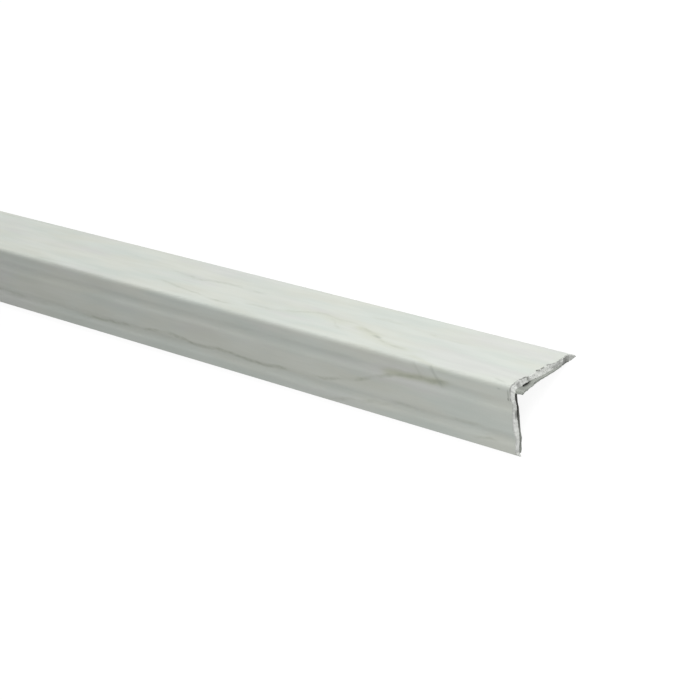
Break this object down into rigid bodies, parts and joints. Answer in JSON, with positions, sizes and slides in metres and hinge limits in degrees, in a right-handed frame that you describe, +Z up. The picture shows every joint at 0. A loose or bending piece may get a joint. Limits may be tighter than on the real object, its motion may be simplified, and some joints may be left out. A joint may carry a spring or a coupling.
{
  "type": "corner guard moulding",
  "caption": "L-shaped plastic corner guard strip with unequal sides, a rounded ridge, two shallow flutes down the narrow side, pale wood-look skin and one roughly broken end.",
  "frame": {"origin": "middle of the strip's footprint, on the floor it lies on", "axes": "+X along the length towards the broken end, +Y towards the wide flange's free edge, +Z up through the ridge"},
  "size_m": [1, 0.0318, 0.0167],
  "materials": {
    "wood_look_plastic": "pale grey-green bleached wood-look film, matt and lightly grained, over off-white rigid plastic"
  },
  "bodies": {
    "root": {"corner_guard": "wood_look_plastic"}
  },
  "joints": []
}
